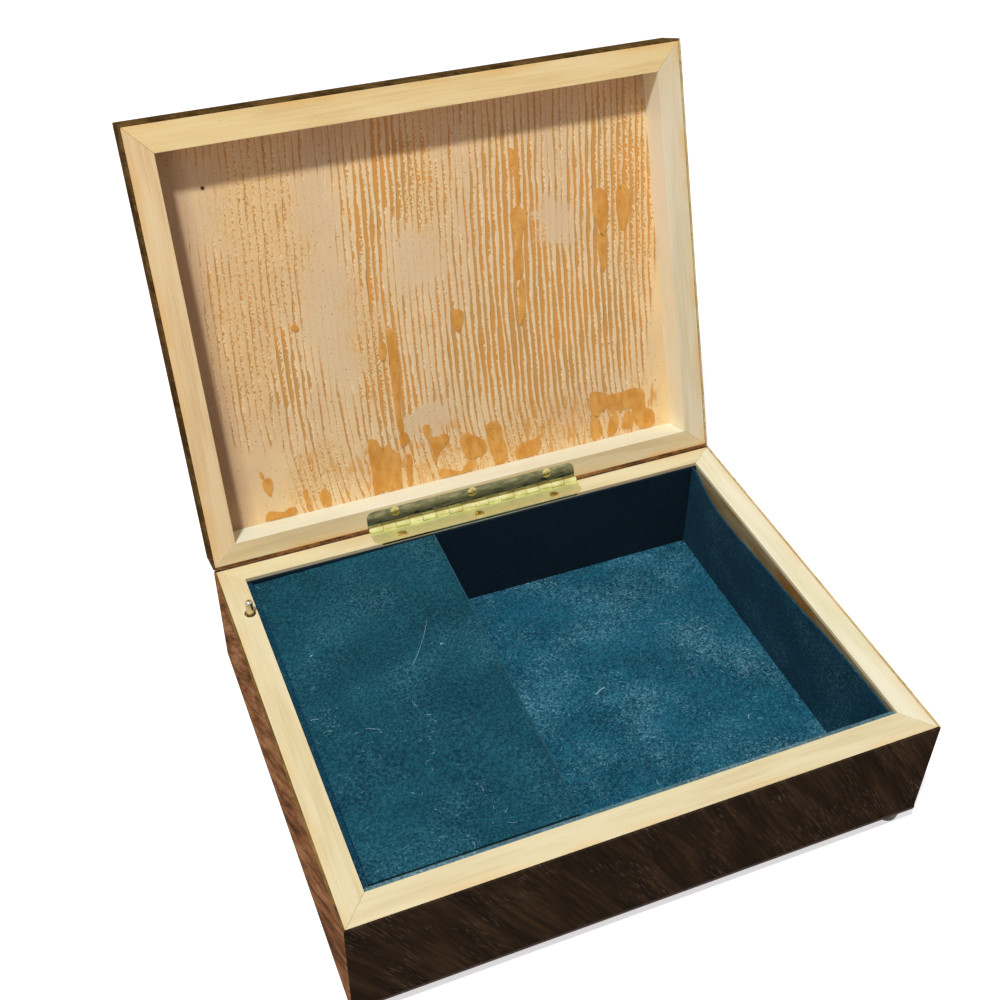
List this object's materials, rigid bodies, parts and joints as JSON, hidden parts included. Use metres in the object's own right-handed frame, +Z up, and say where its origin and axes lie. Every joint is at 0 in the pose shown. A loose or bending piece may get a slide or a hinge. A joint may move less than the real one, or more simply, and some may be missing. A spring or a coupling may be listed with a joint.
{
  "type": "musical jewelry box",
  "caption": "Low veneered wooden jewelry box with a hinged open lid, flocked well, covered music movement, lid-worked stop pin and key underneath.",
  "frame": {"origin": "middle of the open box's bounding box, on the surface that its feet stand on", "axes": "+Z up, +X to the right and +Y to the back, along which the open lid leans"},
  "size_m": [0.216, 0.2416, 0.2111],
  "materials": {
    "rim_wood": "pale maple, waxed",
    "dark_veneer": "dark stained hardwood veneer, satin lacquer",
    "lid_board": "dark stained outside, pale bare wood inside",
    "base_board": "dark stained board",
    "inner_wood": "plain softwood and board",
    "flock": "dark teal flocked card",
    "foot_plastic": "black moulded buns",
    "hinge_brass": "polished brass plate",
    "pin_steel": "turned steel, polished and nickel plated",
    "movement_brass": "turned brass",
    "movement_steel": "ground steel",
    "zinc_steel": "zinc plated steel",
    "cast_zinc": "light metal casting",
    "fan_plastic": "moulded nylon"
  },
  "bodies": {
    "case": {"front_wall": "rim_wood", "back_wall": "rim_wood", "left_wall": "rim_wood", "right_wall": "rim_wood", "front_veneer": "dark_veneer", "back_veneer": "dark_veneer", "left_veneer": "dark_veneer", "right_veneer": "dark_veneer", "bottom_panel": "base_board", "feet": "foot_plastic", "divider_wall": "inner_wood", "divider_lining": "flock", "platform_cleats": "inner_wood", "platform_board": "inner_wood", "platform_lining": "flock", "floor_lining": "flock", "front_lining": "flock", "left_lining": "flock", "back_lining": "flock", "right_lining": "flock", "body_hinge_leaf": "hinge_brass", "hinge_pin": "movement_steel", "body_hinge_screws": "hinge_brass", "stop_pin_bush": "inner_wood", "lever_pivot": "movement_steel", "bedplate": "cast_zinc", "barrel_bridge": "zinc_steel", "comb": "movement_steel", "comb_screws": "zinc_steel", "governor_frame": "zinc_steel", "movement_screws": "zinc_steel"},
    "lid": {"lid_front_rail": "rim_wood", "lid_back_rail": "rim_wood", "lid_left_rail": "rim_wood", "lid_right_rail": "rim_wood", "lid_front_veneer": "dark_veneer", "lid_back_veneer": "dark_veneer", "lid_left_veneer": "dark_veneer", "lid_right_veneer": "dark_veneer", "lid_top_panel": "lid_board", "lid_hinge_leaf": "hinge_brass", "lid_hinge_screws": "hinge_brass"},
    "stop_pin_body": {"stop_pin": "pin_steel"},
    "stop_lever_body": {"stop_lever": "zinc_steel"},
    "winding_body": {"winding_arbor": "movement_steel", "ratchet_wheel": "movement_brass", "winding_key": "movement_brass"},
    "click_body": {"click": "movement_steel"},
    "barrel_body": {"spring_barrel": "movement_brass", "barrel_cover": "movement_brass", "mainspring": "movement_steel"},
    "cylinder_body": {"pinned_cylinder": "movement_brass", "cylinder_arbor": "movement_steel", "cylinder_pinion": "movement_steel", "cylinder_wheel": "movement_brass"},
    "worm_wheel_body": {"worm_arbor": "movement_steel", "worm_wheel": "movement_brass"},
    "fly_body": {"endless_screw": "movement_steel", "air_brake": "fan_plastic"}
  },
  "joints": [
    {"name": "lid_hinge", "type": "hinge", "parent": "case", "child": "lid", "pos_m": [0, 0.04724, 0.05365], "axis": [1, 0, 0], "range_deg": [0, 110.4]},
    {"name": "stop_pin_slide", "type": "slide", "parent": "case", "child": "stop_pin_body", "axis": [0, 0, 1], "range_m": [-0.0064, 0]},
    {"name": "stop_lever_pivot", "type": "hinge", "parent": "case", "child": "stop_lever_body", "pos_m": [-0.0795, 0.02024, 0.03106], "axis": [0, -1, 0], "range_deg": [0, 17.61]},
    {"name": "winding_turn", "type": "hinge", "parent": "case", "child": "winding_body", "pos_m": [-0.056, -0.01996, 0.0118], "axis": [0, 0, 1], "continuous": true},
    {"name": "click_rock", "type": "hinge", "parent": "case", "child": "click_body", "pos_m": [-0.0465, -0.01596, 0.0129], "axis": [0, 0, -1], "range_deg": [0, 8]},
    {"name": "barrel_turn", "type": "hinge", "parent": "case", "child": "barrel_body", "pos_m": [-0.056, -0.01996, 0.0118], "axis": [0, 0, 1], "continuous": true},
    {"name": "cylinder_turn", "type": "hinge", "parent": "case", "child": "cylinder_body", "pos_m": [-0.056, 0.00524, 0.0223], "axis": [0, 1, 0], "continuous": true},
    {"name": "worm_wheel_turn", "type": "hinge", "parent": "case", "child": "worm_wheel_body", "pos_m": [-0.06555, 0.02024, 0.0283], "axis": [0, 1, 0], "continuous": true},
    {"name": "air_brake_turn", "type": "hinge", "parent": "case", "child": "fly_body", "pos_m": [-0.0711, 0.02024, 0.0218], "axis": [0, 0, 1], "continuous": true}
  ],
  "couplings": [
    {"joint": "stop_pin_slide", "follows": "lid_hinge", "m_per_rad": -0.0033212},
    {"joint": "stop_lever_pivot", "follows": "lid_hinge", "ratio": 0.15953},
    {"joint": "barrel_turn", "follows": "cylinder_turn", "ratio": 0.3},
    {"joint": "worm_wheel_turn", "follows": "cylinder_turn", "ratio": -4},
    {"joint": "air_brake_turn", "follows": "cylinder_turn", "ratio": 64}
  ]
}
